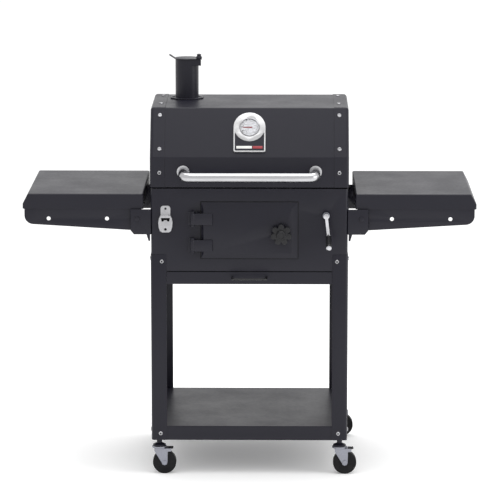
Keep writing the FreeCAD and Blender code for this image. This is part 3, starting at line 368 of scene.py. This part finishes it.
needleJoint = joint("thermometer_needle_turn")
badgeOut = Vector(needleJoint["axis"]).normalized()
badgeTurn = math.atan2(badgeOut.z, -badgeOut.y)   # tilt of the panel away from upright
needleLift = 0.004
badgeBase = Vector(needleJoint["pos_m"]) - needleLift * badgeOut


def ontoBadge(piece):
    piece.matrix_world = Matrix.Translation(badgeBase) @ Matrix.Rotation(math.pi / 2 - badgeTurn, 4, "X")
    return settled(piece)


def rounded(piece, width, segments=3, angle=40):
    bevel = piece.modifiers.new("roundedEdges", "BEVEL")
    bevel.width = width
    bevel.segments = segments
    bevel.limit_method = "ANGLE"
    bevel.angle_limit = math.radians(angle)
    applyModifiers(piece)
    return piece


def block(center, size, turn=0.0):
    bpy.ops.mesh.primitive_cube_add(size=1, location=center, rotation=(0, 0, turn))
    piece = bpy.context.object
    piece.scale = size
    return settled(piece)


def joined(pieces):
    bpy.ops.object.select_all(action="DESELECT")
    for piece in pieces:
        piece.select_set(True)
    bpy.context.view_layer.objects.active = pieces[0]
    if len(pieces) > 1:
        bpy.ops.object.join()
    return bpy.context.object


dial = {"radius": 0.0278, "thick": 0.0004, "floor": 0.0031, "rounding": 0.0001, "tickIn": 0.0212,
        "tickOut": 0.0262, "ticks": 27, "startAngle": -45, "sweep": 270.0, "majorEvery": 3,
        "tickLift": 0.00048, "tickThick": 0.00012, "majorWide": 0.0009, "minorWide": 0.0005,
        "majorLonger": 0.0016, "minorShorter": 0.0012, "ring": 0.0192, "ringWire": 0.00035,
        "gasket": 0.0304, "gasketWire": 0.0008, "gasketLift": 0.0051,
        "hub": 0.0026, "hubThick": 0.0007, "hubLift": 0.00478, "hubRounding": 0.0002}


def hoop(radius, wire, lift, steps):
    bpy.ops.mesh.primitive_torus_add(major_segments=96, minor_segments=steps, major_radius=radius,
                                     minor_radius=wire, location=(0, 0, lift))
    return ontoBadge(bpy.context.object)


def makeTicks():
    ticks = []
    for number in range(dial["ticks"]):
        angle = math.radians(dial["startAngle"] + dial["sweep"] * number / (dial["ticks"] - 1))
        major = number % dial["majorEvery"] == 0
        inner = dial["tickIn"] - (dial["majorLonger"] if major else -dial["minorShorter"])
        middle = (inner + dial["tickOut"]) / 2
        place = (middle * math.cos(angle), middle * math.sin(angle), dial["floor"] + dial["tickLift"])
        wide = dial["majorWide"] if major else dial["minorWide"]
        ticks.append(block(place, (dial["tickOut"] - inner, wide, dial["tickThick"]), angle))
    return ontoBadge(joined(ticks))


def makeDial():
    bpy.ops.mesh.primitive_cylinder_add(vertices=96, radius=dial["radius"], depth=dial["thick"],
                                        location=(0, 0, dial["floor"] + dial["thick"] / 2))
    face = bpy.context.object
    bpy.ops.object.mode_set(mode="EDIT")
    bpy.ops.mesh.select_all(action="SELECT")
    bpy.ops.mesh.bevel(offset=dial["rounding"], segments=1)
    bpy.ops.object.mode_set(mode="OBJECT")
    finishPiece(ontoBadge(face), "dial_face", "lid", "dialWhite")
    finishPiece(makeTicks(), "dial_ticks", "lid", "markGrey")
    ring = hoop(dial["ring"], dial["ringWire"], dial["floor"] + dial["thick"], 8)
    finishPiece(ring, "dial_ring", "lid", "markGrey")
    gasket = hoop(dial["gasket"], dial["gasketWire"], dial["gasketLift"], 10)
    finishPiece(gasket, "dial_gasket", "lid", "darkPartsAndPaintedShade")
    bpy.ops.mesh.primitive_cylinder_add(vertices=40, radius=dial["hub"], depth=dial["hubThick"],
                                        location=(0, 0, dial["hubLift"]))
    hub = rounded(bpy.context.object, dial["hubRounding"], 2)
    finishPiece(ontoBadge(hub), "needle_hub", "thermometer_needle", "markGrey")


badge = {"half": 0.0441, "low": -0.0777, "high": -0.0195, "floor": 0.0037, "thick": 0.0003,
         "ringClear": 0.0468, "barMiddle": -0.0665, "barLift": 0.0041, "barTall": 0.0085, "barThick": 0.0004,
         "barRounding": 0.00015}
badgeBars = {   # left and right end of each bar, metres, and its finish
    "badge_bar_light": (-0.0395, 0.0075, "stripeIvory"), "badge_bar_red": (0.0095, 0.0395, "stripeRed")}


def makeBadgeInfill():
    middle = (badge["low"] + badge["high"]) / 2
    plate = block((0, middle, badge["floor"]),
                  (2 * badge["half"], badge["high"] - badge["low"], badge["thick"]))
    bpy.ops.mesh.primitive_cylinder_add(vertices=128, radius=badge["ringClear"], depth=0.02)
    ring = bpy.context.object
    trim = plate.modifiers.new("roundDial", "BOOLEAN")
    trim.operation = "DIFFERENCE"
    trim.object = ring
    applyModifiers(plate)
    bpy.data.objects.remove(ring)
    finishPiece(ontoBadge(plate), "badge_infill", "lid", "satinBlack")
    for name, (left, right, finish) in badgeBars.items():
        bar = block(((left + right) / 2, badge["barMiddle"], badge["barLift"]),
                    (right - left, badge["barTall"], badge["barThick"]))
        finishPiece(ontoBadge(rounded(bar, badge["barRounding"], 2)), name, "lid", finish)


wheel = {"radius": 0.036, "width": 0.023, "rim": 0.0275, "dish": 0.0035, "groove": 0.0018, "hub": 0.0135,
         "hubStep": 0.0016, "hubProud": 0.0018, "rounding": 0.0028, "axleHole": 0.0045, "spokes": 6,
         "ribAt": 0.0195, "ribLift": 0.0005, "rib": (0.0145, 0.0022, 0.0032), "ribRounding": 0.0006}


def makeRibs():
    # stiffening ribs, closed in by the body of the wheel
    ribs = []
    for number in range(wheel["spokes"]):
        for side in (-1, 1):
            lift = side * (wheel["width"] / 2 - wheel["dish"] + wheel["ribLift"])
            rib = rounded(block((wheel["ribAt"], lift, 0), wheel["rib"]), wheel["ribRounding"], 2)
            rib.rotation_euler = (0, 2 * math.pi * number / wheel["spokes"], 0)
            ribs.append(settled(rib))
    return ribs


def makeWheel():
    bpy.ops.mesh.primitive_cylinder_add(vertices=96, radius=wheel["radius"], depth=wheel["width"],
                                        rotation=(math.pi / 2, 0, 0))
    tyre = settled(bpy.context.object)
    bpy.ops.object.mode_set(mode="EDIT")
    bpy.ops.mesh.select_all(action="DESELECT")
    bpy.ops.object.mode_set(mode="OBJECT")
    for face in tyre.data.polygons:
        face.select = abs(face.normal.y) > 0.9
    bpy.ops.object.mode_set(mode="EDIT")
    bpy.ops.mesh.select_mode(type="FACE")
    # every face is selected here, the tread as well, so these insets make no rim or hub: they swell
    # the disc, and the trim below brings it back to its radius
    bpy.ops.mesh.inset(thickness=wheel["radius"] - wheel["rim"])
    bpy.ops.mesh.inset(thickness=wheel["groove"], depth=-wheel["dish"])
    bpy.ops.mesh.inset(thickness=wheel["rim"] - wheel["groove"] - wheel["hub"])
    bpy.ops.mesh.inset(thickness=wheel["hubStep"], depth=wheel["dish"] + wheel["hubProud"])
    bpy.ops.object.mode_set(mode="OBJECT")
    rounded(tyre, wheel["rounding"], 4, 60)
    bpy.ops.mesh.primitive_cylinder_add(vertices=48, radius=wheel["axleHole"], depth=0.06,
                                        rotation=(math.pi / 2, 0, 0))
    axleHole = bpy.context.object
    bore = tyre.modifiers.new("axleHole", "BOOLEAN")
    bore.operation = "DIFFERENCE"
    bore.object = axleHole
    applyModifiers(tyre)
    bpy.data.objects.remove(axleHole)
    whole = joined([tyre] + makeRibs())
    trim = wheel["radius"] / max(vertex.co.x for vertex in whole.data.vertices)
    whole.scale = (trim, 1, trim)
    return settled(whole)


def makeWheels():
    model = makeWheel()
    for end in ("front", "rear"):
        for side in ("left", "right"):
            node = end + "_" + side + "_wheel"
            low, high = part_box(node)
            piece = bpy.data.objects.new(node + "_tyre", model.data.copy())
            bpy.context.scene.collection.objects.link(piece)
            piece.location = (Vector(low) + Vector(high)) / 2
            finishPiece(settled(piece), node + "_tyre", node, "tyreBlack")
            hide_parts(node)
    bpy.data.objects.remove(model)


# sizes of the dark hexagon painted as the shade in each screw head's socket
socket = {"radius": 0.0024, "depth": 0.0003, "rounding": 0.00008, "headHeight": 0.003, "slack": 0.0002}


def looseParts(piece):
    mesh = piece.data
    owner = list(range(len(mesh.vertices)))

    def root(index):
        while owner[index] != index:
            owner[index] = owner[owner[index]]
            index = owner[index]
        return index

    for edge in mesh.edges:
        first, second = edge.vertices
        owner[root(first)] = root(second)
    parts = {}
    for index in range(len(owner)):
        parts.setdefault(root(index), []).append(mesh.vertices[index].co.copy())
    return list(parts.values())


def makeSocketShade(nodeName, body):
    # dark hexagon at the bottom of every screw head's recess: painted shade in the hex socket
    copy = bpy.data.objects.new("socketGuide", frame["nodes"][nodeName].data.copy())
    bpy.context.scene.collection.objects.link(copy)
    only(copy)
    bpy.ops.object.mode_set(mode="EDIT")
    bpy.ops.mesh.select_all(action="SELECT")
    bpy.ops.mesh.remove_doubles(threshold=0.00002)
    bpy.ops.object.mode_set(mode="OBJECT")
    hexes = []
    for points in looseParts(copy):
        spans = []
        for axis in (Vector((1, 0, 0)), Vector((0, 1, 0)), Vector((0, 0, 1)), badgeOut):
            reach = [point.dot(axis) for point in points]
            spans.append((max(reach) - min(reach), tuple(axis)))
        tall, axis = min(spans)
        if abs(tall - socket["headHeight"]) > socket["slack"]:
            continue
        center = Vector([(max(p[k] for p in points) + min(p[k] for p in points)) / 2 for k in range(3)])
        turn = Vector(axis).to_track_quat("Z", "Y").to_euler()
        bpy.ops.mesh.primitive_cylinder_add(vertices=6, radius=socket["radius"], depth=socket["depth"],
                                            location=center, rotation=turn)
        hexes.append(rounded(settled(bpy.context.object), socket["rounding"], 1))
    bpy.data.objects.remove(copy)
    finishPiece(joined(hexes), nodeName + "_sockets", body, "darkPartsAndPaintedShade")


# sizes of the dark strip painted as the shadow around the charcoal door
shadowStrip = {"reach": 0.0022, "inside": 0.006, "thick": 0.0006, "lift": 0.0001, "rounding": 0.00015}


def makeDoorShadow():
    # dark flat strip behind the rim of the charcoal door: painted shadow around the door's edge
    low, high = (Vector(corner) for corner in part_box("charcoal_door"))
    wide = shadowStrip["reach"] + shadowStrip["inside"]
    inward = (shadowStrip["inside"] - shadowStrip["reach"]) / 2
    center = (low + high) / 2
    depth = high.y + shadowStrip["thick"] / 2 + shadowStrip["lift"]
    long = (high.x - low.x + 2 * shadowStrip["reach"], shadowStrip["thick"], wide)
    short = (wide, shadowStrip["thick"], high.z - low.z - 2 * shadowStrip["inside"])
    bars = [block((center.x, depth, low.z + inward), long), block((low.x + inward, depth, center.z), short),
            block((center.x, depth, high.z - inward), long), block((high.x - inward, depth, center.z), short)]
    whole = rounded(joined(bars), shadowStrip["rounding"], 2)
    finishPiece(whole, "door_painted_shadow", "charcoal_door", "darkPartsAndPaintedShade")


opener = {"screws": ((0.829, 0.0), (0.767, -0.01)), "plate": 0.003, "radius": 0.0032, "proud": 0.0008,
          "screwRounding": 0.0004, "throat": (0.0252, 0.0005, 0.022), "throatZ": 0.7905, "throatLift": 0.0004,
          "throatRounding": 0.00015}   # screws: height, and how far the face there stands off the plate


def makeOpenerDetail():
    low, high = (Vector(corner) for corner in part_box("bottle_opener"))
    middle, plateFace = (low.x + high.x) / 2, high.y - opener["plate"]
    screws = []
    for height, standOff in opener["screws"]:
        bpy.ops.mesh.primitive_cylinder_add(vertices=24, radius=opener["radius"], depth=2 * opener["proud"],
                                            location=(middle, plateFace + standOff, height),
                                            rotation=(math.pi / 2, 0, 0))
        screws.append(rounded(settled(bpy.context.object), opener["screwRounding"], 2))
    finishPiece(joined(screws), "opener_screws", "root", "darkPartsAndPaintedShade")
    # dark plate at the back of the opener's mouth: painted shade in the recess
    throat = block((middle, plateFace - opener["throatLift"], opener["throatZ"]), opener["throat"])
    finishPiece(rounded(throat, opener["throatRounding"], 2), "opener_throat_shade", "root", "darkPartsAndPaintedShade")


for nodeName, width in rolledEdges.items():
    softened(nodeName, nodeName + "_rolled", width)
print("edges rolled:", len(rolledEdges))
makeDial()
makeBadgeInfill()
makeWheels()
makeDoorShadow()
makeOpenerDetail()
makeSocketShade("frame_screws", "root")
makeSocketShade("lid_screws", "lid")
print("dial, badge, wheels, seal and screws modelled")


studio = {"sky": (1.0, 1.0, 1.0), "skyStrength": 0.95, "floorSize": 60, "floorTone": 0.95,
          "floorRough": 0.9, "floorShine": 0.1, "floorGlow": 0.16, "aim": (0, 0, 0.6)}
lamps = {   # power in watts, size in metres, place
    "topSoftbox": (110.0, 4.0, (0.3, 0.2, 4.2)), "sideSoftbox": (42.0, 2.5, (4.2, -1.5, 1.7))}
camera = {"place": (0.1, -9.155, 2.376), "aim": (0.002, -0.21, 0.702), "lens": 216, "sensor": 36, "far": 100}


def makeFloor():
    bpy.ops.mesh.primitive_plane_add(size=studio["floorSize"], location=(0, 0, 0))
    floor = bpy.context.object
    floor.name = "studio_floor"
    material = bpy.data.materials.new("paleFloor")
    material.use_nodes = True
    shader = material.node_tree.nodes["Principled BSDF"]
    tone = studio["floorTone"]
    shader.inputs["Base Color"].default_value = (tone, tone, tone, 1)
    shader.inputs["Roughness"].default_value = studio["floorRough"]
    shader.inputs["Specular IOR Level"].default_value = studio["floorShine"]
    shader.inputs["Emission Color"].default_value = (1, 1, 1, 1)
    shader.inputs["Emission Strength"].default_value = studio["floorGlow"]
    floor.data.materials.append(material)


def makeLights():
    world = bpy.data.worlds.new("studioSky")
    bpy.context.scene.world = world
    world.use_nodes = True
    background = world.node_tree.nodes["Background"]
    background.inputs["Color"].default_value = (*studio["sky"], 1)
    background.inputs["Strength"].default_value = studio["skyStrength"]
    for name, (power, size, place) in lamps.items():
        bpy.ops.object.light_add(type="AREA", location=place)
        lamp = bpy.context.object
        lamp.name = name
        lamp.data.energy = power
        lamp.data.size = size
        lamp.rotation_euler = (Vector(studio["aim"]) - Vector(place)).to_track_quat("-Z", "Y").to_euler()


def makeCamera():
    bpy.ops.object.camera_add(location=camera["place"])
    eye = bpy.context.object
    eye.data.sensor_width = camera["sensor"]
    eye.data.lens = camera["lens"]
    eye.data.clip_end = camera["far"]
    aim = Vector(camera["aim"]) - eye.location
    eye.rotation_euler = aim.to_track_quat("-Z", "Y").to_euler()
    bpy.context.scene.camera = eye


makeFloor()
makeLights()
makeCamera()
bpy.context.scene.view_settings.view_transform = "Standard"
print("scene ready")
